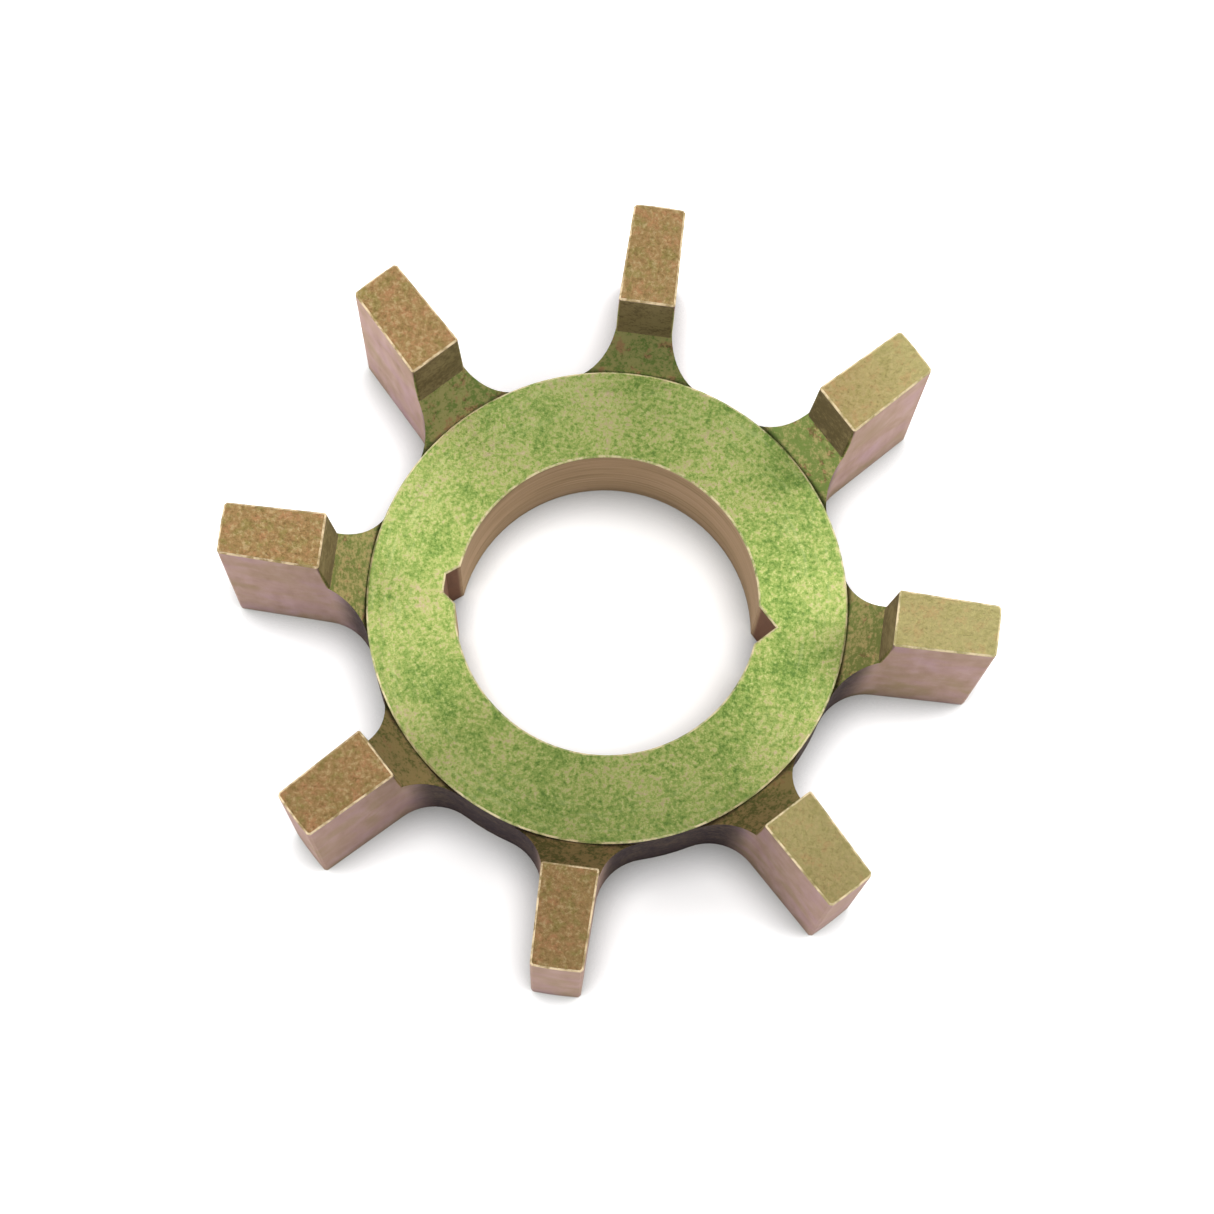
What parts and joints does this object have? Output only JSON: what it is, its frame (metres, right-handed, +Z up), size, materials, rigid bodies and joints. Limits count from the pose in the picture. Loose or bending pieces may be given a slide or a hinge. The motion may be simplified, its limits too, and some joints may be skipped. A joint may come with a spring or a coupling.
{
  "type": "eight-armed driving star",
  "caption": "One-piece steel driving star: a flat ring hub with a notched bore and radial arms ending in tall rectangular driving tips, yellow zinc plated.",
  "frame": {"origin": "centre of the bore on the underside, where the bore axis meets the plane that the hub and the arms rest on", "axes": "+Z up along the bore axis, from the underside towards the driving tips; +X along the arm that lines up with the sharp bore notch"},
  "size_m": [0.125, 0.125, 0.044],
  "materials": {
    "plated_steel": "yellow chromate zinc plate over turned and milled steel"
  },
  "bodies": {
    "root": {"drive_star": "plated_steel"}
  },
  "joints": []
}
